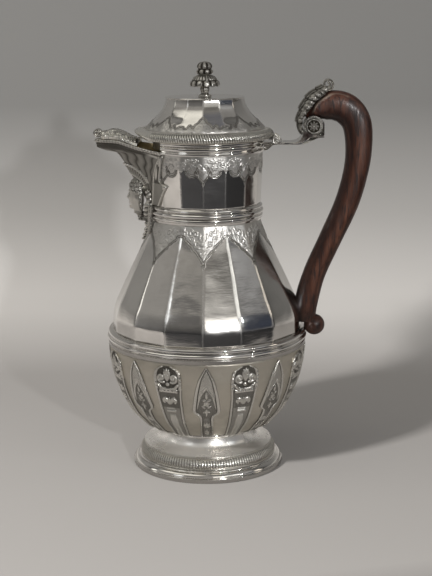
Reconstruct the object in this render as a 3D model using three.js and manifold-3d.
// A covered silver pitcher: domed foot, round bowl with applied straps, sixteen-sided pear body and neck,
// lipped spout with a mask, hinged lid with a finial, and a wooden handle on a silver arm.
// Millimetres, +Z up. The spout points to -X and the handle to +X. The table is at z = 0.
import * as THREE from "three";
import { mergeVertices } from "three/addons/utils/BufferGeometryUtils.js";
import Module from "manifold-3d";

const wasm = await Module();
wasm.setup();

// Clearances
const SEAM_GAP = 0.3; // between pieces that are soldered or seated together
const BORE_GAP = 0.1; // radial, around screws, pegs and fixed pins
const RUNNING_GAP = 0.06; // radial, around the hinge pin
const LID_SEAT_GAP = 0.2; // between the closed lid and the rim
const HINGE_GAP = 0.3; // between knuckles, and around the turning barrel

// How finely the turned pieces are divided
const FACETS = 16; // sides of the upper body, the neck and the lid
const ROUND_SIDES = 24; // sides that stand for a circle on the large turned pieces
const SMALL_SIDES = 16; // the same on the small ones

// Walls
const FOOT_WALL = 1.8;
const BOWL_WALL = 1.6;
const BODY_WALL = 1.6;
const NECK_WALL = 1.5;
const LID_WALL = 1.3;
const SPOUT_WALL = 1.5;

// Foot
const FOOT_RADIUS = 50.8;
const FOOT_RIM_HEIGHT = 7;
const FOOT_RIM_WIDTH = 8; // the flat ring that stands on the table
const FOOT_BAND_RADIUS = 45.9;
const FOOT_BAND_HEIGHT = 8.8;
const FOOT_BAND_WIDTH = 5;
const FOOT_DOME_RADIUS = 43.3;
const FOOT_DOME_HEIGHT = 8.8;
const FOOT_COLLAR_RADIUS = 31.6;
const FOOT_COLLAR_HEIGHT = 2.8;
const FOOT_COLLAR_WIDTH = 3.6;

// Bowl and waist
const BOWL_FOOT_RADIUS = 31;
const BOWL_RADIUS = 65.8;
const BOWL_HEIGHT = 57.2;
const WAIST_OVERHANG = 1.6; // from the edge of the bowl to the outside of the waist band
const WAIST_RADIUS = BOWL_RADIUS + WAIST_OVERHANG;
const WAIST_HEIGHT = 10.2;
const WAIST_WIDTH = 5.8;

// Upper body, neck and rim. The radii of the sixteen-sided pieces are measured to their corners.
const BODY_SET_BACK = 3.9; // from the outside of the waist band to the corners of the body
const BODY_RADIUS = WAIST_RADIUS - BODY_SET_BACK;
const BODY_HEIGHT = 73.2;
const NECK_BAND_RADIUS = 38.2;
const NECK_BAND_HEIGHT = 10.4;
const NECK_BAND_WIDTH = 4.6;
const NECK_FOOT_RADIUS = 36.4;
const NECK_TOP_RADIUS = 38;
const NECK_HEIGHT = 34;
const RIM_RADIUS = 38.9;
const RIM_HEIGHT = 8.8;
const RIM_WIDTH = 3.5;

// Applied straps on the bowl
const STRAPS_OF_EACH_KIND = 8;
const STRAP_THICKNESS = 1.2;
const LOZENGE_HALF_WIDTH = 9.3;
const SCROLL_HALF_WIDTH = 9.6;
const STRAP_TURN = THREE.MathUtils.degToRad(1.8); // how far the straps stand past the corners of the body

// Lid
const LID_RADIUS = 45;
const LID_FLANGE_HEIGHT = 6;
const LID_FLANGE_WIDTH = 11.6;
const LID_DOME_RADIUS = 39.6;
const LID_DOME_HEIGHT = 19.8;
const LID_PLATE_RADIUS = 26;
const LID_PLATE_THICKNESS = 0.8;
const BEZEL_DEPTH = 6.6;
const BEZEL_WALL = 1.2;
const BEZEL_CLEARANCE = 0.8;

// Finial
const FINIAL_FOOT_RADIUS = 4.4;
const FINIAL_STEM_RADIUS = 2.9;
const FINIAL_STEM_HEIGHT = 8.8;
const FINIAL_SKIRT_RADIUS = 9.8;
const FINIAL_SKIRT_HEIGHT = 5;
const FINIAL_SKIRT_DROP = 2.2;
const FINIAL_BUD_RADIUS = 5.2;
const FINIAL_BUD_HEIGHT = 8.8;
const FINIAL_LOBES = 12;
const FINIAL_SCREW_RADIUS = 1.3;
const FINIAL_SCREW_IN_BUD = 4.2;
const FINIAL_NUT_RADIUS = 3.4;
const FINIAL_NUT_HEIGHT = 3;

// Hinge
const BARREL_RADIUS = 1.5;
const HINGE_PIN_RADIUS = 0.75;
const LID_KNUCKLE_HALF_LENGTH = 3.7;
const HINGE_HALF_LENGTH = 8.6;
const HINGE_OUT_OF_LID = 1.2; // from the edge of the lid to the hinge axis
const HINGE_BELOW_LID = 1.1;
const HINGE_BAR_WIDTH = 2;
const HINGE_BAR_HEIGHT = 1.5;

// Handle arm, volute and leaf
const ARM_THICKNESS = 1.5;
const ARM_ROOT_HALF_WIDTH = 10;
const ARM_END_HALF_WIDTH = 7.4;
const ARM_BRACKET_DROP = 3.6;
const VOLUTE_OUT = 31.8; // from the rim to the middle of the volute
const VOLUTE_RISE = 10.4; // from the top of the arm to the middle of the volute
const VOLUTE_RADIUS = 6.6;
const VOLUTE_HALF_WIDTH = 7.4;
const VOLUTE_FACE_OUT = 6.9; // from the middle of the volute to its flat end face
const ROSETTE_RADIUS = 4.8;
const ROSETTE_THICKNESS = 1.3;
const LEAF_HALF_WIDTH = 8.4;

// Wooden grip
const GRIP_HALF_WIDTH = 7;
const BALL_RADIUS = 7;
const BALL_OUT = 8.8; // from the corner of the body to the middle of the ball
const BALL_RISE = 0.7; // from the top of the waist band to the middle of the ball
const PEG_RADIUS = 1.9;
const UPPER_PEG_LENGTH = 14.5;
const LOWER_PEG_RISE = 10.2; // from the top of the waist band to the lower peg
const LOWER_PEG_LENGTH = 8;
const LOWER_PLATE_RADIUS = 5.6;
const LOWER_PLATE_THICKNESS = 0.9;
const CROSS_PIN_RADIUS = 0.8;
const CROSS_PIN_SHORT = 0.6; // how far each cross pin stops inside the wood

// Spout and mask
const SPOUT_REACH = 72.4;
const SPOUT_FLOOR = 2.4;
const SPOUT_LEAF_THICKNESS = 1.3;
const TIP_SCROLL_RADIUS = 2.7;
const TIP_SCROLL_HALF_LENGTH = 3.6;
const BORDER_THICKNESS = 0.9;
const PENDANT_THICKNESS = 1.4;
const PENDANT_HALF_WIDTH = 1.8;
const HEAD_DEPTH = 7.6;
const HEAD_HALF_WIDTH = 9.2;
const HEAD_HALF_HEIGHT = 12;
const BRAID_RADIUS = 1.9;

// Levels above the table, each from the pieces below it
const footBandLevel = FOOT_RIM_HEIGHT;
const footDomeLevel = footBandLevel + FOOT_BAND_HEIGHT;
const footCollarLevel = footDomeLevel + FOOT_DOME_HEIGHT;
const bowlLevel = footCollarLevel + FOOT_COLLAR_HEIGHT;
const waistLevel = bowlLevel + BOWL_HEIGHT;
const bodyLevel = waistLevel + WAIST_HEIGHT;
const neckBandLevel = bodyLevel + BODY_HEIGHT;
const neckLevel = neckBandLevel + NECK_BAND_HEIGHT;
const rimLevel = neckLevel + NECK_HEIGHT;
const rimTop = rimLevel + RIM_HEIGHT;
const lidLevel = rimTop + LID_SEAT_GAP;
const lidDomeLevel = lidLevel + LID_FLANGE_HEIGHT;
const lidPlateLevel = lidDomeLevel + LID_DOME_HEIGHT;
const finialLevel = lidPlateLevel + LID_PLATE_THICKNESS;
const skirtLevel = finialLevel + FINIAL_STEM_HEIGHT;
const budLevel = skirtLevel + FINIAL_SKIRT_HEIGHT;

// Places that several pieces share
const hingeX = LID_RADIUS + HINGE_OUT_OF_LID;
const hingeZ = lidLevel - HINGE_BELOW_LID;
const armTop = hingeZ - BARREL_RADIUS - HINGE_GAP;
const armBottom = armTop - ARM_THICKNESS;
const armRoot = RIM_RADIUS + SEAM_GAP;
const voluteX = RIM_RADIUS + VOLUTE_OUT;
const voluteZ = armTop + VOLUTE_RISE;
const voluteFaceX = voluteX + VOLUTE_FACE_OUT;
const ballX = BODY_RADIUS + BALL_OUT;
const ballZ = bodyLevel + BALL_RISE;
const lowerPegZ = bodyLevel + LOWER_PEG_RISE;

// Materials, with the colours of the real surfaces
const silver = { color: 0xc9c6bf, roughness: 0.18, metalness: 1 };
const satinSilver = { color: 0xa9a294, roughness: 0.42, metalness: 1 };
const reliefSilver = { color: 0xb0aca0, roughness: 0.32, metalness: 1 };
const rosewood = { color: 0x3a211c, roughness: 0.38, metalness: 0 };

// Closed shapes

// Turns the faces of a closed mesh outwards.
function facingOut(geometry) {
  const position = geometry.getAttribute("position");
  const index = geometry.index.array;
  const a = new THREE.Vector3();
  const b = new THREE.Vector3();
  const c = new THREE.Vector3();
  let volume = 0;
  for (let i = 0; i < index.length; i += 3) {
    a.fromBufferAttribute(position, index[i]);
    b.fromBufferAttribute(position, index[i + 1]);
    c.fromBufferAttribute(position, index[i + 2]);
    volume += a.dot(b.cross(c));
  }
  if (volume < 0) {
    for (let i = 0; i < index.length; i += 3) {
      const second = index[i + 1];
      index[i + 1] = index[i + 2];
      index[i + 2] = second;
    }
  }
  return geometry;
}

// Keeps only the positions and merges the vertices that meet.
function joined(geometry) {
  const bare = geometry.index ? geometry.clone() : geometry;
  bare.deleteAttribute("normal");
  bare.deleteAttribute("uv");
  return facingOut(mergeVertices(bare, 1e-4));
}

function meshOf(points, faces) {
  const geometry = new THREE.BufferGeometry();
  geometry.setAttribute("position", new THREE.Float32BufferAttribute(points.flat(), 3));
  geometry.setIndex(faces.flat());
  return facingOut(geometry);
}

// A closed outline of [radius, height] pairs, turned about the vertical axis. An outline may start and end on it.
function turned(outline, sides) {
  const closed = outline[0][0] === 0 ? outline : [...outline, outline[0]];
  const profile = closed.map(([r, z]) => new THREE.Vector2(r, z));
  const geometry = new THREE.LatheGeometry(profile, sides);
  geometry.rotateX(Math.PI / 2);
  return joined(geometry);
}

// The same with alternate sides drawn in, for lobes and flutes.
function lobed(outline, lobes, depth) {
  const geometry = turned(outline, 2 * lobes);
  const position = geometry.getAttribute("position");
  for (let i = 0; i < position.count; i += 1) {
    const angle = Math.atan2(position.getX(i), -position.getY(i));
    const radius = Math.hypot(position.getX(i), position.getY(i));
    const valley = Math.abs(Math.round((angle * lobes) / Math.PI)) % 2;
    const share = 1 - (valley * Math.min(depth, radius / 4)) / Math.max(radius, 1e-6);
    position.setXY(i, position.getX(i) * share, position.getY(i) * share);
  }
  return geometry;
}

// Rings of points with the same count, skinned and capped.
function lofted(rings) {
  const count = rings[0].length;
  const points = rings.flat();
  const faces = [];
  for (let row = 0; row + 1 < rings.length; row += 1) {
    for (let i = 0; i < count; i += 1) {
      const next = (i + 1) % count;
      const low = row * count;
      const high = low + count;
      faces.push([low + i, low + next, high + next], [low + i, high + next, high + i]);
    }
  }
  for (const [ring, start, turn] of [
    [rings[0], 0, -1],
    [rings[rings.length - 1], (rings.length - 1) * count, 1],
  ]) {
    const middle = [0, 1, 2].map((axis) => ring.reduce((sum, p) => sum + p[axis], 0) / count);
    points.push(middle);
    for (let i = 0; i < count; i += 1) {
      const next = (i + 1) % count;
      const edge = turn > 0 ? [start + i, start + next] : [start + next, start + i];
      faces.push([...edge, points.length - 1]);
    }
  }
  return meshOf(points, faces);
}

// Two grids of points with the same rows and columns, joined round their border into a plate.
function plate(front, back) {
  const rows = front.length;
  const columns = front[0].length;
  const points = [...front.flat(), ...back.flat()];
  const at = (side, row, column) => side * rows * columns + row * columns + column;
  const faces = [];
  const quad = (a, b, c, d) => faces.push([a, b, c], [a, c, d]);
  for (let row = 0; row + 1 < rows; row += 1) {
    for (let column = 0; column + 1 < columns; column += 1) {
      quad(at(0, row, column), at(0, row, column + 1), at(0, row + 1, column + 1), at(0, row + 1, column));
      quad(at(1, row, column), at(1, row + 1, column), at(1, row + 1, column + 1), at(1, row, column + 1));
    }
    const last = columns - 1;
    quad(at(0, row, last), at(1, row, last), at(1, row + 1, last), at(0, row + 1, last));
    quad(at(0, row, 0), at(0, row + 1, 0), at(1, row + 1, 0), at(1, row, 0));
  }
  for (let column = 0; column + 1 < columns; column += 1) {
    const last = rows - 1;
    quad(at(0, 0, column), at(1, 0, column), at(1, 0, column + 1), at(0, 0, column + 1));
    quad(at(0, last, column), at(0, last, column + 1), at(1, last, column + 1), at(1, last, column));
  }
  return meshOf(points, faces);
}

// An outline in the XZ plane, extruded the same distance to both sides of y = 0.
function slab(outline, halfWidth) {
  const shape = new THREE.Shape(outline.map(([x, z]) => new THREE.Vector2(x, z)));
  const geometry = new THREE.ExtrudeGeometry(shape, { depth: 2 * halfWidth, bevelEnabled: false });
  geometry.rotateX(Math.PI / 2);
  geometry.translate(0, halfWidth, 0);
  return joined(geometry);
}

// A round bar along Y between two values of y.
function crossBar(radius, x, z, low, high, sides = SMALL_SIDES) {
  const geometry = new THREE.CylinderGeometry(radius, radius, high - low, sides);
  geometry.translate(x, (low + high) / 2, z);
  return joined(geometry);
}

function box(low, high) {
  const size = low.map((value, axis) => high[axis] - value);
  const geometry = new THREE.BoxGeometry(...size);
  geometry.translate(...low.map((value, axis) => value + size[axis] / 2));
  return joined(geometry);
}

// Solids for cutting and joining

function solid(geometry) {
  const bare = geometry.index ? geometry : joined(geometry);
  return new wasm.Manifold(
    new wasm.Mesh({
      numProp: 3,
      vertProperties: new Float32Array(bare.getAttribute("position").array),
      triVerts: new Uint32Array(bare.index.array),
    }),
  );
}

function geometryOf(made) {
  const mesh = made.getMesh();
  const geometry = new THREE.BufferGeometry();
  geometry.setAttribute("position", new THREE.BufferAttribute(mesh.vertProperties, 3));
  geometry.setIndex(new THREE.BufferAttribute(mesh.triVerts, 1));
  return geometry;
}

function cut(geometry, ...tools) {
  return geometryOf(tools.reduce((made, tool) => made.subtract(solid(tool)), solid(geometry)));
}

function fused(...geometries) {
  return geometryOf(geometries.map(solid).reduce((made, next) => made.add(next)));
}

// Profiles

// Shares of the way from the lower radius to the upper one, against shares of the height.
const BOWL_SHAPE = [
  [0, 0],
  [0.3, 0.052],
  [0.492, 0.166],
  [0.618, 0.255],
  [0.74, 0.385],
  [0.87, 0.58],
  [0.951, 0.78],
  [1, 1],
];
const BODY_SHAPE = [
  [0, 0],
  [0, 0.07],
  [0.012, 0.14],
  [0.085, 0.235],
  [0.2, 0.33],
  [0.44, 0.52],
  [0.69, 0.71],
  [0.82, 0.81],
  [0.92, 0.905],
  [1, 1],
];
const LID_SHAPE = [
  [0, 0],
  [0.05, 0.06],
  [0.19, 0.155],
  [0.36, 0.285],
  [0.59, 0.435],
  [0.78, 0.6],
  [0.905, 0.75],
  [0.975, 0.89],
  [1, 1],
];

function shaped(shape, lowRadius, highRadius, level, height) {
  return shape.map(([share, rise]) => [lowRadius + share * (highRadius - lowRadius), level + rise * height]);
}

const bodyTopRadius = NECK_FOOT_RADIUS;
const lidTopRadius = LID_PLATE_RADIUS - 0.2;
const bowlProfile = shaped(BOWL_SHAPE, BOWL_FOOT_RADIUS, BOWL_RADIUS, bowlLevel, BOWL_HEIGHT);
const bodyProfile = shaped(BODY_SHAPE, BODY_RADIUS, bodyTopRadius, bodyLevel, BODY_HEIGHT);
const lidProfile = shaped(LID_SHAPE, LID_DOME_RADIUS, lidTopRadius, lidDomeLevel, LID_DOME_HEIGHT);
const neckProfile = [
  [NECK_FOOT_RADIUS, neckLevel],
  [NECK_TOP_RADIUS, rimLevel],
];

// The radius of a profile at a height, to the corners of a sixteen-sided piece.
function radiusAt(profile, z) {
  for (let i = 0; i + 1 < profile.length; i += 1) {
    const [r0, z0] = profile[i];
    const [r1, z1] = profile[i + 1];
    if (z <= z1) return r0 + ((r1 - r0) * Math.max(0, z - z0)) / (z1 - z0);
  }
  return profile[profile.length - 1][0];
}

// A wall of even thickness inside an outer profile, as a closed outline.
function walled(profile, wall) {
  const inner = profile.map(([r, z]) => [r - wall, z]).reverse();
  return [...profile, ...inner];
}

// The solid inside a profile, grown by a gap, for cutting pieces that sit against it.
function filled(profile, gap, sides) {
  const grown = profile.map(([r, z]) => [r + gap, z]);
  const bottom = profile[0][1];
  const top = profile[profile.length - 1][1];
  return turned([[0, bottom], ...grown, [0, top]], sides);
}

// A turned band whose outer side follows shares of its width and height.
function band(radius, width, level, height, steps) {
  const outer = steps.map(([inset, rise]) => [radius - inset, level + rise * height]);
  return [[radius - width, level], ...outer, [radius - width, level + height]];
}

// Foot

function footRim() {
  const steps = [
    [0, 0],
    [0, 0.42],
    [0.8, 0.5],
    [1.2, 0.75],
    [2.4, 0.93],
    [5.2, 1],
  ];
  return turned(band(FOOT_RADIUS, FOOT_RIM_WIDTH, 0, FOOT_RIM_HEIGHT, steps), ROUND_SIDES);
}

function footBand() {
  const steps = [
    [0.5, 0],
    [0, 0.2],
    [0.6, 0.6],
    [2.4, 1],
  ];
  return turned(band(FOOT_BAND_RADIUS, FOOT_BAND_WIDTH, footBandLevel, FOOT_BAND_HEIGHT, steps), ROUND_SIDES);
}

function footDome() {
  const shape = [
    [0, 0],
    [0.18, 0.05],
    [0.42, 0.15],
    [0.66, 0.32],
    [0.84, 0.54],
    [0.95, 0.78],
    [1, 1],
  ];
  const outer = shaped(shape, FOOT_DOME_RADIUS, FOOT_COLLAR_RADIUS, footDomeLevel, FOOT_DOME_HEIGHT);
  const top = footCollarLevel;
  const inner = outer
    .slice(0, -1)
    .map(([r, z]) => [r - FOOT_WALL, Math.max(footDomeLevel, z - 0.6 * FOOT_WALL)])
    .reverse();
  const lip = FOOT_COLLAR_RADIUS - FOOT_COLLAR_WIDTH;
  return turned([...outer, [lip, top], [lip, top - FOOT_WALL], ...inner], ROUND_SIDES);
}

function footCollar() {
  const steps = [
    [0.6, 0],
    [0, 0.3],
    [0, 0.7],
    [0.6, 1],
  ];
  return turned(
    band(FOOT_COLLAR_RADIUS, FOOT_COLLAR_WIDTH, footCollarLevel, FOOT_COLLAR_HEIGHT, steps),
    ROUND_SIDES,
  );
}

// Bowl, waist, body, neck and rim

function bowl() {
  const floor = bowlLevel + BOWL_WALL;
  const inner = bowlProfile
    .map(([r, z]) => [r - BOWL_WALL, z])
    .filter(([, z]) => z > floor + BOWL_WALL)
    .reverse();
  const flat = [BOWL_FOOT_RADIUS, floor];
  return turned([[0, bowlLevel], ...bowlProfile, ...inner, flat, [0, floor]], ROUND_SIDES);
}

function waistBand() {
  const steps = [
    [1.4, 0],
    [0.9, 0.28],
    [1.8, 0.34],
    [0.1, 0.43],
    [0.2, 0.6],
    [1.6, 0.69],
    [0.4, 0.77],
    [0.6, 0.92],
    [2.4, 1],
  ];
  return turned(band(WAIST_RADIUS, WAIST_WIDTH, waistLevel, WAIST_HEIGHT, steps), ROUND_SIDES);
}

function upperBody() {
  return turned(walled(bodyProfile, BODY_WALL), FACETS);
}

function neckBand() {
  const steps = [
    [2.2, 0],
    [0.6, 0.17],
    [0.5, 0.32],
    [1.2, 0.39],
    [0, 0.48],
    [0, 0.64],
    [1, 0.71],
    [0.5, 0.85],
    [1.6, 1],
  ];
  return turned(
    band(NECK_BAND_RADIUS, NECK_BAND_WIDTH, neckBandLevel, NECK_BAND_HEIGHT, steps),
    ROUND_SIDES,
  );
}

function neck() {
  return cut(turned(walled(neckProfile, NECK_WALL), FACETS), spoutChannel());
}

function rimMoulding() {
  const steps = [
    [1.2, 0],
    [0.3, 0.15],
    [0.9, 0.31],
    [0, 0.42],
    [0, 0.6],
    [0.8, 0.68],
    [0.1, 0.83],
    [0.8, 1],
  ];
  const ring = turned(band(RIM_RADIUS, RIM_WIDTH, rimLevel, RIM_HEIGHT, steps), ROUND_SIDES);
  const [rootX, rootY] = spoutRoot(rimLevel, NECK_TOP_RADIUS);
  const side = (turn) => [2 * rootX, 2 * turn * (rootY + SEAM_GAP)];
  const wedge = [[0, 0], side(1), side(-1)];
  const rings = [rimLevel - 1, rimTop + 1].map((z) => wedge.map(([x, y]) => [x, y, z]));
  return cut(ring, lofted(rings));
}

// Applied straps. Half widths are shares of the widest, against shares of the way up the bowl's curve.
const LOZENGE_SHAPE = [
  [0.43, 0.05],
  [0.43, 0.2],
  [0.46, 0.38],
  [0.56, 0.475],
  [0.93, 0.52],
  [0.97, 0.575],
  [0.84, 0.71],
  [0.62, 0.835],
  [0.36, 0.91],
  [0.08, 0.975],
];
const SCROLL_SHAPE = [
  [0.47, 0.05],
  [0.51, 0.17],
  [0.63, 0.3],
  [0.73, 0.42],
  [0.8, 0.55],
  [0.88, 0.68],
  [0.98, 0.78],
  [1, 0.87],
  [0.86, 0.935],
  [0.45, 0.975],
];

function strap(shape, halfWidth, angle) {
  const curve = new THREE.SplineCurve(bowlProfile.map(([r, z]) => new THREE.Vector2(r, z)));
  const layer = (offset) =>
    shape.map(([share, along]) => {
      const point = curve.getPointAt(along);
      const tangent = curve.getTangentAt(along);
      const radius = point.x + tangent.y * offset;
      const height = point.y - tangent.x * offset;
      return [-1, 0, 1].map((side) => {
        const turn = angle + (side * share * halfWidth) / point.x;
        return [radius * Math.cos(turn), radius * Math.sin(turn), height];
      });
    });
  const strapPlate = plate(layer(SEAM_GAP + STRAP_THICKNESS), layer(-1));
  return cut(strapPlate, filled(bowlProfile, SEAM_GAP, ROUND_SIDES));
}

// Spout

// The way up the spout: height against the rim, half angle of its root on the neck, reach, fullness of its tip.
const SPOUT_STATIONS = [
  { down: 1, angle: 22, reach: 0.533, tip: 4 },
  { down: 0.84, angle: 24.5, reach: 0.57, tip: 3.6 },
  { down: 0.6, angle: 27, reach: 0.62, tip: 3.2 },
  { down: 0.38, angle: 30, reach: 0.68, tip: 3 },
  { down: 0.2, angle: 35, reach: 0.735, tip: 3 },
  { down: 0.07, angle: 40, reach: 0.777, tip: 3.4 },
  { down: 0, angle: 43, reach: 0.805, tip: 3.8 },
  { down: -0.035, angle: 44, reach: 0.9, tip: 4 },
  { down: -0.1, angle: 45, reach: 0.985, tip: 4.2 },
  { down: -0.28, angle: 46, reach: 1, tip: 4.2 },
];
const SPOUT_SIDE_POINTS = 7;

function spoutLevel(down) {
  return rimLevel - down * (NECK_HEIGHT - SEAM_GAP);
}

// The station at any height, between the ones in the list.
function stationAt(z) {
  for (let i = 0; i + 1 < SPOUT_STATIONS.length; i += 1) {
    const low = SPOUT_STATIONS[i];
    const high = SPOUT_STATIONS[i + 1];
    const share = Math.max(0, (z - spoutLevel(low.down)) / (spoutLevel(high.down) - spoutLevel(low.down)));
    const between = (key) => low[key] + share * (high[key] - low[key]);
    if (share <= 1) return { angle: between("angle"), reach: between("reach"), tip: between("tip") };
  }
  return SPOUT_STATIONS.at(-1);
}

function spoutAngle(z) {
  return THREE.MathUtils.degToRad(stationAt(z).angle);
}

function spoutRoot(z, radius) {
  const angle = spoutAngle(z);
  return [-radius * Math.cos(angle), radius * Math.sin(angle)];
}

// One level section: from the root on one side round the prow to the other, closed inside the neck.
function spoutSection(station, z, inset) {
  const radius = radiusAt(neckProfile, Math.min(z, rimLevel));
  const angle = THREE.MathUtils.degToRad(station.angle) - inset / radius;
  const root = [-radius * Math.cos(angle), radius * Math.sin(angle)];
  const prow = -(station.reach * SPOUT_REACH - inset);
  const tip = station.tip - 0.6 * inset;
  const span = root[0] - prow;
  const side = new THREE.CubicBezierCurve(
    new THREE.Vector2(...root),
    new THREE.Vector2(root[0] - 0.35 * span, root[1] * 0.52 + 0.5 * tip),
    new THREE.Vector2(prow, 1.15 * tip),
    new THREE.Vector2(prow, 0),
  );
  const half = side.getPoints(SPOUT_SIDE_POINTS).map((p) => [p.x, p.y, z]);
  const mirrored = half.slice(0, -1).map(([x, y]) => [x, -y, z]);
  const back = [-0.5 * radius, 0.5 * root[1], z];
  return [back, ...half, ...mirrored.reverse(), [back[0], -back[1], z]];
}

function spoutForm() {
  return lofted(SPOUT_STATIONS.map((station) => spoutSection(station, spoutLevel(station.down), 0)));
}

// The hollow of the spout, open at the top and through the wall of the neck.
function spoutChannel() {
  const floor = neckLevel + SEAM_GAP + SPOUT_FLOOR;
  const top = rimTop + 2;
  const rings = SPOUT_STATIONS.map((station, i) => {
    const outerLevel = spoutLevel(station.down);
    const z = i === 0 ? floor : i === SPOUT_STATIONS.length - 1 ? top : Math.max(outerLevel + 1, floor + i);
    return spoutSection(station, z, SPOUT_WALL);
  });
  return lofted(rings);
}

// The top edge of the lip, as [share of the reach, rise above the foot of the rim moulding].
const LIP_EDGE = [
  [0.3, 0.4],
  [0.48, 1.4],
  [0.58, 2.8],
  [0.675, 5],
  [0.77, 7.8],
  [0.84, 8.4],
  [1.1, 8.6],
];

function lipHeight(x) {
  const share = -x / SPOUT_REACH;
  for (let i = 0; i + 1 < LIP_EDGE.length; i += 1) {
    const [s0, h0] = LIP_EDGE[i];
    const [s1, h1] = LIP_EDGE[i + 1];
    if (share <= s1) return rimLevel + h0 + ((h1 - h0) * Math.max(0, share - s0)) / (s1 - s0);
  }
  return rimLevel + LIP_EDGE.at(-1)[1];
}

function spout() {
  const edge = LIP_EDGE.map(([share, rise]) => [-share * SPOUT_REACH, rimLevel + rise]);
  const above = rimTop + 10;
  const trim = slab([[0, edge[0][1]], ...edge, [edge.at(-1)[0], above], [0, above]], LID_RADIUS);
  const neckCore = filled([[NECK_FOOT_RADIUS, neckLevel - 1], [NECK_TOP_RADIUS, rimLevel], [NECK_TOP_RADIUS, above]], SEAM_GAP, FACETS);
  return cut(spoutForm(), spoutChannel(), neckCore, trim);
}

// Half the width of the lip's outside at a place along it.
function lipHalfWidth(x) {
  const station = SPOUT_STATIONS.at(-1);
  const section = spoutSection(station, rimTop, 0).filter(([, y]) => y >= 0);
  for (let i = 1; i + 1 < section.length; i += 1) {
    const [x0, y0] = section[i];
    const [x1, y1] = section[i + 1];
    if (x >= x1) return y0 + ((y1 - y0) * (x0 - x)) / (x0 - x1);
  }
  return 0;
}

// Raised leaf-work over the outer end of the lip: [share of the reach, rise of the crest over the lip].
const SPOUT_LEAF_SHAPE = [
  [0.635, 2.4],
  [0.684, 4.6],
  [0.73, 5.8],
  [0.78, 6.8],
  [0.84, 6.9],
  [0.89, 4.9],
  [0.945, 4.7],
];

function spoutLeaf() {
  const layer = (inset) =>
    SPOUT_LEAF_SHAPE.map(([share, crest]) => {
      const x = -share * SPOUT_REACH;
      const halfWidth = lipHalfWidth(x) + 0.4 - inset;
      const base = lipHeight(x) + SEAM_GAP;
      return [-1, -0.87, -0.5, 0, 0.5, 0.87, 1].map((side) => {
        const arch = Math.sqrt(Math.max(0, 1 - side * side));
        return [x, side * halfWidth, base + arch * (crest - inset)];
      });
    });
  return plate(layer(0), layer(SPOUT_LEAF_THICKNESS));
}

function tipScroll() {
  const end = -SPOUT_LEAF_SHAPE.at(-1)[0] * SPOUT_REACH;
  const x = end - SEAM_GAP - TIP_SCROLL_RADIUS;
  const z = lipHeight(x) + SEAM_GAP + TIP_SCROLL_RADIUS;
  return crossBar(TIP_SCROLL_RADIUS, x, z, -TIP_SCROLL_HALF_LENGTH, TIP_SCROLL_HALF_LENGTH);
}

// Stepped border plate beside the spout, on the neck: [share of the way down, outer angle in degrees].
const BORDER_SHAPE = [
  [0.02, 48],
  [0.15, 45.5],
  [0.46, 41.5],
  [0.52, 43],
  [0.58, 51],
  [0.68, 48],
  [0.98, 37],
];

// The distance from the axis to the side of a sixteen-sided piece at an angle, from the distance to its corners.
function flatRadius(corner, angle) {
  const sector = (2 * Math.PI) / FACETS;
  const within = angle - sector * Math.floor(angle / sector) - sector / 2;
  return (corner * Math.cos(sector / 2)) / Math.cos(within);
}

function spoutBorder(turn) {
  const layer = (offset) =>
    BORDER_SHAPE.map(([down, outer]) => {
      const z = rimLevel - down * NECK_HEIGHT;
      const inner = spoutAngle(z) - 0.03;
      const outerAngle = THREE.MathUtils.degToRad(outer);
      return [0, 0.25, 0.5, 0.75, 1].map((share) => {
        const angle = inner + share * (outerAngle - inner);
        const radius = flatRadius(radiusAt(neckProfile, z), angle) + offset;
        return [-radius * Math.cos(angle), turn * radius * Math.sin(angle), z];
      });
    });
  return cut(plate(layer(SEAM_GAP + BORDER_THICKNESS), layer(-1)), ...spoutBacking());
}

// What the spout's ornament sits against: the spout, the neck, the neck band and the body, grown by the seam.
function spoutBacking() {
  const bandProfile = [
    [NECK_BAND_RADIUS, neckBandLevel],
    [NECK_BAND_RADIUS, neckLevel],
  ];
  const stations = SPOUT_STATIONS.map((station) => spoutSection(station, spoutLevel(station.down), -SEAM_GAP));
  const lowest = stations[0].map(([x, y, z]) => [x, y, z - 2 * SEAM_GAP]);
  return [
    filled(bandProfile, SEAM_GAP, ROUND_SIDES),
    filled(bodyProfile, SEAM_GAP, FACETS),
    filled(neckProfile, SEAM_GAP, FACETS),
    lofted([lowest, ...stations]),
  ];
}

// How far out of the axis that backing comes at a place beside the middle plane.
function backingReach(y, z) {
  const across = Math.abs(y);
  const radius = Math.max(z < neckLevel ? NECK_BAND_RADIUS : 0, z < neckBandLevel ? radiusAt(bodyProfile, z) : 0);
  if (z < neckLevel) return Math.sqrt(radius ** 2 - across ** 2);
  const station = stationAt(z);
  const section = spoutSection(station, z, 0);
  for (let i = 1; i <= SPOUT_SIDE_POINTS; i += 1) {
    const [x0, y0] = section[i];
    const [x1, y1] = section[i + 1];
    if (across >= y1) return -x1 - ((x0 - x1) * (across - y1)) / Math.max(y0 - y1, 0.01);
  }
  return station.reach * SPOUT_REACH;
}

// Pendant strap from the border over the neck band to the body: [angle in degrees, rise over the neck band,
// share of the half width].
const PENDANT_SHAPE = [
  [25, -0.4, 1],
  [22.5, -6, 1],
  [20.8, -11.5, 1],
  [19.6, -16, 0.9],
  [19.4, -19, 0.35],
];

function pendantRadius(z) {
  return Math.max(NECK_BAND_RADIUS, radiusAt(bodyProfile, z));
}

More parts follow.
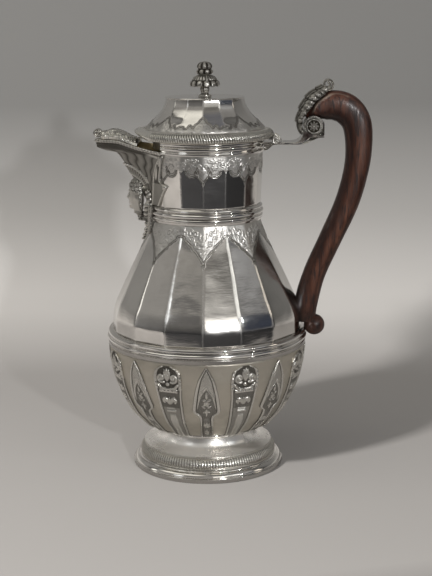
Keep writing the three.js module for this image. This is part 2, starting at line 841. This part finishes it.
function spoutPendant(turn) {
  const layer = (offset) =>
    PENDANT_SHAPE.map(([degrees, rise, share]) => {
      const z = neckLevel + rise;
      const radius = pendantRadius(z) + offset;
      return [-1, 0, 1].map((side) => {
        const angle = THREE.MathUtils.degToRad(degrees) + (side * share * PENDANT_HALF_WIDTH) / radius;
        return [-radius * Math.cos(angle), turn * radius * Math.sin(angle), z];
      });
    });
  return cut(plate(layer(SEAM_GAP + PENDANT_THICKNESS), layer(-0.5)), ...spoutBacking());
}

// Mask

const headX = -(NECK_BAND_RADIUS + 5);
const headZ = neckLevel + 5;

function headForm(gap) {
  const geometry = new THREE.SphereGeometry(1, SMALL_SIDES, 10);
  geometry.rotateX(Math.PI / 2);
  geometry.scale(HEAD_DEPTH + gap, HEAD_HALF_WIDTH + gap, HEAD_HALF_HEIGHT + gap);
  geometry.translate(headX, 0, headZ);
  return joined(geometry);
}

function maskFace() {
  const front = headX - HEAD_DEPTH;
  const noseTop = headZ + 0.2 * HEAD_HALF_HEIGHT;
  const noseFoot = headZ - 0.14 * HEAD_HALF_HEIGHT;
  const bridge = [
    [front + 1.2, -0.6, noseTop],
    [front + 1.2, 0.6, noseTop],
    [front + 3, 0, noseTop],
  ];
  const nostrils = [
    [front - 1, -1.5, noseFoot],
    [front - 1, 1.5, noseFoot],
    [front + 3, 0, noseFoot],
  ];
  return cut(fused(headForm(0), lofted([bridge, nostrils])), ...spoutBacking());
}

// Fluted fan laid on the spout round the top of the head.
const FAN_RAYS = 11;
const FAN_HALF_SPREAD = THREE.MathUtils.degToRad(64);
const FAN_INNER = 8.8;
const FAN_OUTER = 14.6;
const FAN_CREST = 4.6; // how much longer the middle rays are
const FAN_THICKNESS = 1.5;

function maskHeaddress() {
  const samples = 2 * FAN_RAYS;
  const layer = (offset) =>
    Array.from({ length: samples + 1 }, (_, i) => {
      const turn = -FAN_HALF_SPREAD + (2 * FAN_HALF_SPREAD * i) / samples;
      const notch = i % 2 === 0 ? 0.9 : 0;
      return [0, 0.5, 1].map((share) => {
        const outer = FAN_OUTER + FAN_CREST * Math.cos(turn) ** 3 - notch;
        const radius = FAN_INNER + share * (outer - FAN_INNER);
        const y = radius * Math.sin(turn);
        const z = headZ + 3 + radius * Math.cos(turn);
        return [-backingReach(y, z) - offset, y, z];
      });
    });
  const fan = plate(layer(SEAM_GAP + FAN_THICKNESS), layer(-1.5));
  return cut(fan, headForm(SEAM_GAP), ...spoutBacking());
}

function tubeAlong(points, radius, sides, steps) {
  const curve = new THREE.CatmullRomCurve3(points.map((p) => new THREE.Vector3(...p)));
  const shape = new THREE.Shape();
  for (let i = 0; i < sides; i += 1) {
    const angle = (2 * Math.PI * i) / sides;
    const move = i === 0 ? "moveTo" : "lineTo";
    shape[move](radius * Math.cos(angle), radius * Math.sin(angle));
  }
  return joined(new THREE.ExtrudeGeometry(shape, { steps, extrudePath: curve, bevelEnabled: false }));
}

// A braid hangs beside each cheek and turns in under the chin: [distance from the middle, rise over the chin].
const BRAID_PATH = [
  [11.6, 18],
  [12, 13.5],
  [11.4, 8],
  [9.9, 2.5],
  [7.6, -2.5],
];

function maskBraid(turn) {
  const chin = headZ - HEAD_HALF_HEIGHT;
  const path = BRAID_PATH.map(([y, rise]) => {
    const z = chin + rise;
    return [-backingReach(y, z) - SEAM_GAP - 0.5 * BRAID_RADIUS, turn * y, z];
  });
  const tube = tubeAlong(path, BRAID_RADIUS, 8, 7);
  return cut(tube, headForm(SEAM_GAP), ...spoutBacking());
}

// Leaf drop under the chin: [height against the neck band's top, half width, how far it stands out].
const DROP_SHAPE = [
  [-6, 2.6, 7.6],
  [-10, 3.4, 6.4],
  [-14.5, 4, 4.2],
  [-19.2, 3, 2.1],
  [-24.6, 0.6, 1.2],
];

function maskDrop() {
  const layer = (front) =>
    DROP_SHAPE.map(([rise, halfWidth, proud]) => {
      const z = neckLevel + rise;
      const radius = pendantRadius(z);
      const ridge = radius + SEAM_GAP + proud;
      return [-1, 0, 1].map((side) => {
        const x = front ? ridge - 0.35 * proud * Math.abs(side) : radius - 1.5;
        return [-x, side * halfWidth, z];
      });
    });
  return cut(plate(layer(true), layer(false)), headForm(SEAM_GAP), ...spoutBacking());
}

// Lid

function lidFlange() {
  const steps = [
    [1.2, 0],
    [0, 0.35],
    [0.6, 0.75],
    [5, 1],
  ];
  return turned(band(LID_RADIUS, LID_FLANGE_WIDTH, lidLevel, LID_FLANGE_HEIGHT, steps), ROUND_SIDES);
}

function lidBezel() {
  const radius = RIM_RADIUS - RIM_WIDTH - BEZEL_CLEARANCE;
  return turned(
    [
      [radius - BEZEL_WALL, lidLevel - BEZEL_DEPTH],
      [radius, lidLevel - BEZEL_DEPTH],
      [radius, lidLevel],
      [radius - BEZEL_WALL, lidLevel],
    ],
    ROUND_SIDES,
  );
}

function lidDome() {
  return turned(walled(lidProfile, LID_WALL), FACETS);
}

// The hole for the finial's screw.
function screwBore(low, high) {
  const radius = FINIAL_SCREW_RADIUS + BORE_GAP;
  return turned(
    [
      [0, low],
      [radius, low],
      [radius, high],
      [0, high],
    ],
    SMALL_SIDES,
  );
}

function lidTopPlate() {
  const disc = turned(
    [
      [0, lidPlateLevel],
      [LID_PLATE_RADIUS, lidPlateLevel],
      [LID_PLATE_RADIUS, finialLevel],
      [0, finialLevel],
    ],
    ROUND_SIDES,
  );
  return cut(disc, screwBore(lidPlateLevel - 1, finialLevel + 1));
}

function finialStem() {
  const rise = (share) => finialLevel + share * FINIAL_STEM_HEIGHT;
  const stem = turned(
    [
      [0, rise(0)],
      [FINIAL_FOOT_RADIUS, rise(0)],
      [FINIAL_FOOT_RADIUS, rise(0.12)],
      [FINIAL_STEM_RADIUS - 0.6, rise(0.24)],
      [FINIAL_STEM_RADIUS, rise(0.45)],
      [FINIAL_STEM_RADIUS, rise(0.6)],
      [FINIAL_STEM_RADIUS - 0.7, rise(0.75)],
      [FINIAL_STEM_RADIUS, rise(1)],
      [0, rise(1)],
    ],
    SMALL_SIDES,
  );
  return cut(stem, screwBore(finialLevel - 1, skirtLevel + 1));
}

function finialSkirt() {
  const lip = skirtLevel - FINIAL_SKIRT_DROP;
  const skirt = lobed(
    [
      [0, skirtLevel],
      [0.6 * FINIAL_SKIRT_RADIUS, skirtLevel],
      [0.86 * FINIAL_SKIRT_RADIUS, lip],
      [FINIAL_SKIRT_RADIUS, lip],
      [0.97 * FINIAL_SKIRT_RADIUS, lip + 0.3 * (budLevel - lip)],
      [0.8 * FINIAL_SKIRT_RADIUS, lip + 0.7 * (budLevel - lip)],
      [0.5 * FINIAL_SKIRT_RADIUS, budLevel],
      [0, budLevel],
    ],
    FINIAL_LOBES,
    0.7,
  );
  return cut(skirt, screwBore(skirtLevel - 1, budLevel + 1));
}

function finialBud() {
  const rise = (share) => budLevel + share * FINIAL_BUD_HEIGHT;
  const bud = lobed(
    [
      [0, budLevel],
      [0.62 * FINIAL_BUD_RADIUS, rise(0)],
      [0.7 * FINIAL_BUD_RADIUS, rise(0.12)],
      [FINIAL_BUD_RADIUS, rise(0.4)],
      [0.9 * FINIAL_BUD_RADIUS, rise(0.66)],
      [0.5 * FINIAL_BUD_RADIUS, rise(0.88)],
      [0, rise(1)],
    ],
    FINIAL_LOBES / 2,
    0.6,
  );
  return cut(bud, screwBore(budLevel - 1, budLevel + FINIAL_SCREW_IN_BUD + BORE_GAP));
}

const nutLevel = lidPlateLevel - FINIAL_NUT_HEIGHT;

function finialScrew() {
  const low = nutLevel - 1;
  const high = budLevel + FINIAL_SCREW_IN_BUD;
  return turned(
    [
      [0, low],
      [FINIAL_SCREW_RADIUS, low],
      [FINIAL_SCREW_RADIUS, high],
      [0, high],
    ],
    SMALL_SIDES,
  );
}

function finialNut() {
  const nut = turned(
    [
      [0, nutLevel],
      [FINIAL_NUT_RADIUS, nutLevel],
      [FINIAL_NUT_RADIUS, lidPlateLevel],
      [0, lidPlateLevel],
    ],
    6,
  );
  return cut(nut, screwBore(nutLevel - 1, lidPlateLevel + 1));
}

// Hinge

const pinBore = crossBar(HINGE_PIN_RADIUS + RUNNING_GAP, hingeX, hingeZ, -20, 20);

function hingeLidLeaf() {
  const half = LID_KNUCKLE_HALF_LENGTH;
  const barrel = crossBar(BARREL_RADIUS, hingeX, hingeZ, -half, half);
  const tongue = box([RIM_RADIUS + 2 * SEAM_GAP, -half, hingeZ - 0.4], [hingeX, half, lidLevel]);
  const aboveBarrel = box([LID_RADIUS - 2, -half - 1, lidLevel], [hingeX + 4, half + 1, lidLevel + 4]);
  const leaf = fused(barrel, cut(tongue, crossBar(0.6 * BARREL_RADIUS, hingeX, hingeZ, -20, 20)));
  return cut(leaf, aboveBarrel, pinBore);
}

function hingeBodyLeaf() {
  const inner = LID_KNUCKLE_HALF_LENGTH + HINGE_GAP;
  const barFront = hingeX + BARREL_RADIUS + HINGE_GAP;
  const barTop = armTop + HINGE_BAR_HEIGHT;
  const pieces = [box([barFront, -HINGE_HALF_LENGTH, armTop], [barFront + HINGE_BAR_WIDTH, HINGE_HALF_LENGTH, barTop])];
  for (const turn of [-1, 1]) {
    const low = Math.min(turn * inner, turn * HINGE_HALF_LENGTH);
    const high = Math.max(turn * inner, turn * HINGE_HALF_LENGTH);
    pieces.push(crossBar(BARREL_RADIUS, hingeX, hingeZ, low, high));
    pieces.push(box([hingeX - 0.6 * BARREL_RADIUS, low, armTop], [barFront + HINGE_BAR_WIDTH, high, barTop]));
  }
  return cut(fused(...pieces), pinBore);
}

function hingePin() {
  return crossBar(HINGE_PIN_RADIUS, hingeX, hingeZ, -HINGE_HALF_LENGTH - 0.4, HINGE_HALF_LENGTH + 0.4);
}

// Handle

function voluteForm(gap, halfWidth) {
  const drum = crossBar(VOLUTE_RADIUS + gap, voluteX, voluteZ, -halfWidth, halfWidth, 24);
  const face = box(
    [voluteX, -halfWidth, voluteZ - VOLUTE_RADIUS - gap],
    [voluteFaceX + gap, halfWidth, voluteZ + 0.4 * VOLUTE_RADIUS],
  );
  return fused(drum, face);
}

function handleArm() {
  const outline = [
    [armRoot, armBottom - ARM_BRACKET_DROP],
    [armRoot + 2.4, armBottom - 0.9 * ARM_BRACKET_DROP],
    [armRoot + 4.4, armBottom - 0.45 * ARM_BRACKET_DROP],
    [armRoot + 6, armBottom],
    [voluteX - 8.6, armBottom],
    [voluteX - 4.4, armBottom + 1],
    [voluteX, armBottom + 2.9],
    [voluteX + 3.4, voluteZ - VOLUTE_RADIUS - 1],
    [voluteFaceX, voluteZ - VOLUTE_RADIUS - SEAM_GAP - 0.2],
    [voluteX + 3, voluteZ],
    [voluteX - 4, voluteZ - 0.4 * VOLUTE_RADIUS],
    [voluteX - 6.4, voluteZ - 0.75 * VOLUTE_RADIUS],
    [voluteX - 9, armTop + 1.6],
    [voluteX - 13, armTop],
    [armRoot, armTop],
  ];
  const arm = slab(outline, 1);
  const position = arm.getAttribute("position");
  for (let i = 0; i < position.count; i += 1) {
    const share = (position.getX(i) - armRoot) / (voluteFaceX - armRoot);
    const halfWidth = ARM_ROOT_HALF_WIDTH + share * (ARM_END_HALF_WIDTH - ARM_ROOT_HALF_WIDTH);
    position.setY(i, position.getY(i) * halfWidth);
  }
  const rimCore = filled([[RIM_RADIUS, rimLevel - 1], [RIM_RADIUS, rimTop]], SEAM_GAP, ROUND_SIDES);
  return cut(arm, voluteForm(SEAM_GAP, 20), rimCore);
}

// The grip, from the volute over the bend and down to the ball. along is the share of the way up from the ball
// to the volute, out the distance out of the line between them, deep half the depth of the section.
const GRIP_STATIONS = [
  { along: 1.043, out: -5.2, deep: 1.5 },
  { along: 1.058, out: -1.1, deep: 4.4 },
  { along: 1.086, out: 5.2, deep: 8.4 },
  { along: 1.097, out: 13.4, deep: 9.7 },
  { along: 1.073, out: 22, deep: 10.1 },
  { along: 1.01, out: 28, deep: 9.6 },
  { along: 0.903, out: 29.5, deep: 8.8 },
  { along: 0.78, out: 27.8, deep: 8.2 },
  { along: 0.62, out: 21.8, deep: 7.9 },
  { along: 0.439, out: 10.9, deep: 7.5 },
  { along: 0.27, out: 0.6, deep: 7.4 },
  { along: 0.124, out: -5, deep: 7.7 },
  { along: 0.02, out: -5.4, deep: 6 },
];
// One section of the grip, as shares of its half width and half depth: a flattened oval with softened corners.
const GRIP_SIDES = 10;

function gripForm(gap) {
  const middles = GRIP_STATIONS.map(({ along, out }) => {
    const x = ballX + along * (voluteX - ballX) + out;
    const z = ballZ + along * (voluteZ - ballZ);
    return new THREE.Vector2(x, z);
  });
  const rings = GRIP_STATIONS.map(({ deep }, i) => {
    const before = middles[Math.max(0, i - 1)];
    const after = middles[Math.min(middles.length - 1, i + 1)];
    const tangent = after.clone().sub(before).normalize();
    const outward = new THREE.Vector2(-tangent.y, tangent.x);
    return Array.from({ length: GRIP_SIDES }, (_, side) => {
      const angle = (2 * Math.PI * (side + 0.5)) / GRIP_SIDES;
      const across = Math.sign(Math.sin(angle)) * Math.abs(Math.sin(angle)) ** 0.8;
      const through = Math.sign(Math.cos(angle)) * Math.abs(Math.cos(angle)) ** 0.8;
      const halfWidth = Math.min(GRIP_HALF_WIDTH, deep) + gap;
      return [
        middles[i].x + outward.x * through * (deep + gap),
        across * halfWidth,
        middles[i].y + outward.y * through * (deep + gap),
      ];
    });
  });
  return lofted(rings);
}

function ballForm() {
  const geometry = new THREE.SphereGeometry(BALL_RADIUS, SMALL_SIDES, 8);
  geometry.rotateX(Math.PI / 2);
  geometry.translate(ballX, 0, ballZ);
  return joined(geometry);
}

// A round bar along X.
function outwardBar(radius, z, low, high) {
  const geometry = new THREE.CylinderGeometry(radius, radius, high - low, SMALL_SIDES);
  geometry.rotateZ(Math.PI / 2);
  geometry.translate((low + high) / 2, 0, z);
  return joined(geometry);
}

// The upper peg leans out of the volute along the wood.
const UPPER_PEG_LEAN = THREE.MathUtils.degToRad(38);

function upperPeg(gap, length) {
  const geometry = new THREE.CylinderGeometry(PEG_RADIUS + gap, PEG_RADIUS + gap, length, SMALL_SIDES);
  geometry.translate(0, length / 2, 0);
  geometry.rotateX(Math.PI / 2);
  geometry.rotateY(UPPER_PEG_LEAN);
  geometry.translate(voluteX, 0, voluteZ);
  return joined(geometry);
}

function upperPinPlace() {
  const along = UPPER_PEG_LENGTH - 2.6;
  return [voluteX + along * Math.sin(UPPER_PEG_LEAN), voluteZ + along * Math.cos(UPPER_PEG_LEAN)];
}

const lowerPegRoot = radiusAt(bodyProfile, lowerPegZ) + SEAM_GAP;
const lowerPinX = lowerPegRoot + LOWER_PLATE_THICKNESS + 0.62 * LOWER_PEG_LENGTH;

function handleGrip() {
  const bodyGap = SEAM_GAP + LOWER_PLATE_THICKNESS + SEAM_GAP;
  const bodyCore = filled(bodyProfile, bodyGap, FACETS);
  const waistCore = filled([[WAIST_RADIUS, waistLevel], [WAIST_RADIUS, bodyLevel]], SEAM_GAP, ROUND_SIDES);
  const [pinX, pinZ] = upperPinPlace();
  const upperPin = crossBar(CROSS_PIN_RADIUS + BORE_GAP, pinX, pinZ, -20, 20, 8);
  const lowerPin = crossBar(CROSS_PIN_RADIUS + BORE_GAP, lowerPinX, lowerPegZ, -20, 20, 8);
  const lowerHole = outwardBar(
    PEG_RADIUS + BORE_GAP,
    lowerPegZ,
    0,
    lowerPegRoot + LOWER_PLATE_THICKNESS + LOWER_PEG_LENGTH + 0.5,
  );
  return cut(
    fused(gripForm(0), ballForm()),
    bodyCore,
    waistCore,
    voluteForm(SEAM_GAP, 20),
    upperPeg(BORE_GAP, UPPER_PEG_LENGTH + 0.5),
    lowerHole,
    upperPin,
    lowerPin,
  );
}

function handleSocket() {
  const [pinX, pinZ] = upperPinPlace();
  const pinHole = crossBar(CROSS_PIN_RADIUS + BORE_GAP, pinX, pinZ, -20, 20, 8);
  return cut(fused(voluteForm(0, VOLUTE_HALF_WIDTH), upperPeg(0, UPPER_PEG_LENGTH)), pinHole);
}

function crossPin(x, z) {
  const half = GRIP_HALF_WIDTH - CROSS_PIN_SHORT;
  return crossBar(CROSS_PIN_RADIUS, x, z, -half, half, 8);
}

function rosette(turn) {
  const disc = lobed(
    [
      [0, 0],
      [ROSETTE_RADIUS, 0],
      [ROSETTE_RADIUS, 0.5 * ROSETTE_THICKNESS],
      [0.45 * ROSETTE_RADIUS, ROSETTE_THICKNESS],
      [0, ROSETTE_THICKNESS],
    ],
    8,
    0.5,
  );
  disc.rotateX((-turn * Math.PI) / 2);
  disc.translate(voluteX, turn * VOLUTE_HALF_WIDTH, voluteZ);
  return disc;
}

// The leaf over the top of the volute and the wood. Each station gives its ridge and its lower edge, as distances
// out and up from the middle of the volute, and its half width as a share of the widest.
const LEAF_STATIONS = [
  { ridge: [-7.4, -5.2], edge: [-6, -4.2], wide: 0.55 },
  { ridge: [-9.1, -3.4], edge: [-6.6, -2.4], wide: 0.7 },
  { ridge: [-10.8, 0.6], edge: [-7.3, 0.9], wide: 0.8 },
  { ridge: [-11, 5], edge: [-6.8, 4.6], wide: 0.9 },
  { ridge: [-9.8, 9.4], edge: [-5, 7.6], wide: 1 },
  { ridge: [-8.4, 13.3], edge: [-2.4, 11], wide: 1 },
  { ridge: [-5.9, 17.7], edge: [0.8, 15.2], wide: 1 },
  { ridge: [-1.6, 22.3], edge: [4.6, 18.6], wide: 0.9 },
  { ridge: [3, 24.6], edge: [7.8, 20.6], wide: 0.75 },
  { ridge: [6.2, 27.2], edge: [10.4, 22.6], wide: 0.62 },
  { ridge: [9, 29.6], edge: [12.6, 24.6], wide: 0.52 },
];
const LEAF_CURL_RADIUS = 3.9;

function handleLeaf() {
  const rings = LEAF_STATIONS.map(({ ridge, edge, wide }) => {
    const halfWidth = wide * LEAF_HALF_WIDTH;
    const place = (share, side) => [
      voluteX + ridge[0] + share * (edge[0] - ridge[0]),
      side * halfWidth,
      voluteZ + ridge[1] + share * (edge[1] - ridge[1]),
    ];
    return [
      place(0, 0),
      place(0.12, 0.5),
      place(0.45, 0.88),
      place(1, 1),
      place(1, -1),
      place(0.45, -0.88),
      place(0.12, -0.5),
    ];
  });
  const last = LEAF_STATIONS.at(-1);
  const curlX = voluteX + (last.ridge[0] + last.edge[0]) / 2;
  const curlZ = voluteZ + (last.ridge[1] + last.edge[1]) / 2;
  const curlHalf = last.wide * LEAF_HALF_WIDTH;
  const curl = crossBar(LEAF_CURL_RADIUS, curlX, curlZ, -curlHalf, curlHalf);
  return cut(fused(lofted(rings), curl), gripForm(SEAM_GAP), voluteForm(SEAM_GAP, 20));
}

// Shaped plate against the corner of the body, with the peg that the wood's lower end is pinned to.
function handleLowerPeg() {
  const inside = filled(bodyProfile, SEAM_GAP, FACETS);
  const outside = filled(bodyProfile, SEAM_GAP + LOWER_PLATE_THICKNESS, FACETS);
  const disc = outwardBar(LOWER_PLATE_RADIUS, lowerPegZ, 0.5 * BODY_RADIUS, 2 * BODY_RADIUS);
  const pad = solid(disc).intersect(solid(outside));
  const end = lowerPegRoot + LOWER_PLATE_THICKNESS + LOWER_PEG_LENGTH;
  const peg = outwardBar(PEG_RADIUS, lowerPegZ, 0.5 * BODY_RADIUS, end);
  const pinHole = crossBar(CROSS_PIN_RADIUS + BORE_GAP, lowerPinX, lowerPegZ, -20, 20, 8);
  return geometryOf(pad.add(solid(peg)).subtract(solid(inside)).subtract(solid(pinHole)));
}

// Assembly

const pitcher = new THREE.Group();

function add(name, geometry, finish) {
  const flat = geometry.toNonIndexed();
  flat.computeVertexNormals();
  const mesh = new THREE.Mesh(flat, new THREE.MeshStandardMaterial(finish));
  mesh.name = name;
  pitcher.add(mesh);
}

add("foot_rim", footRim(), silver);
add("foot_gadroon_band", footBand(), reliefSilver);
add("foot_dome", footDome(), silver);
add("foot_collar", footCollar(), silver);
add("bowl", bowl(), satinSilver);
const strapStep = Math.PI / STRAPS_OF_EACH_KIND;
for (let i = 0; i < STRAPS_OF_EACH_KIND; i += 1) {
  const turn = STRAP_TURN + 2 * i * strapStep;
  add(`strap_lozenge_${i + 1}`, strap(LOZENGE_SHAPE, LOZENGE_HALF_WIDTH, turn), reliefSilver);
  add(`strap_scroll_${i + 1}`, strap(SCROLL_SHAPE, SCROLL_HALF_WIDTH, turn + strapStep), reliefSilver);
}
add("waist_band", waistBand(), silver);
add("upper_body", upperBody(), silver);
add("neck_band", neckBand(), silver);
add("neck", neck(), silver);
add("rim_moulding", rimMoulding(), silver);

add("spout", spout(), silver);
add("spout_leaf", spoutLeaf(), reliefSilver);
add("spout_tip_scroll", tipScroll(), reliefSilver);
add("mask_face", maskFace(), reliefSilver);
add("mask_headdress", maskHeaddress(), reliefSilver);
add("mask_drop", maskDrop(), reliefSilver);
for (const [side, turn] of [
  ["left", -1],
  ["right", 1],
]) {
  add(`spout_border_${side}`, spoutBorder(turn), silver);
  add(`spout_pendant_${side}`, spoutPendant(turn), silver);
  add(`mask_braid_${side}`, maskBraid(turn), reliefSilver);
  add(`volute_rosette_${side}`, rosette(turn), reliefSilver);
}

add("lid_flange", lidFlange(), reliefSilver);
add("lid_bezel", lidBezel(), silver);
add("lid_dome", lidDome(), silver);
add("lid_top_plate", lidTopPlate(), silver);
add("finial_stem", finialStem(), reliefSilver);
add("finial_skirt", finialSkirt(), reliefSilver);
add("finial_bud", finialBud(), reliefSilver);
add("finial_screw", finialScrew(), silver);
add("finial_nut", finialNut(), silver);

add("hinge_lid_leaf", hingeLidLeaf(), silver);
add("hinge_body_leaf", hingeBodyLeaf(), silver);
add("hinge_pin", hingePin(), silver);

add("handle_arm", handleArm(), silver);
add("handle_socket", handleSocket(), reliefSilver);
add("handle_leaf", handleLeaf(), reliefSilver);
add("handle_grip", handleGrip(), rosewood);
add("handle_upper_pin", crossPin(...upperPinPlace()), silver);
add("handle_lower_peg", handleLowerPeg(), silver);
add("handle_lower_pin", crossPin(lowerPinX, lowerPegZ), silver);

// The origin is on the table, under the middle of the pitcher's length.
const reach = new THREE.Box3().setFromObject(pitcher);
pitcher.position.x = -(reach.min.x + reach.max.x) / 2;

export default pitcher;
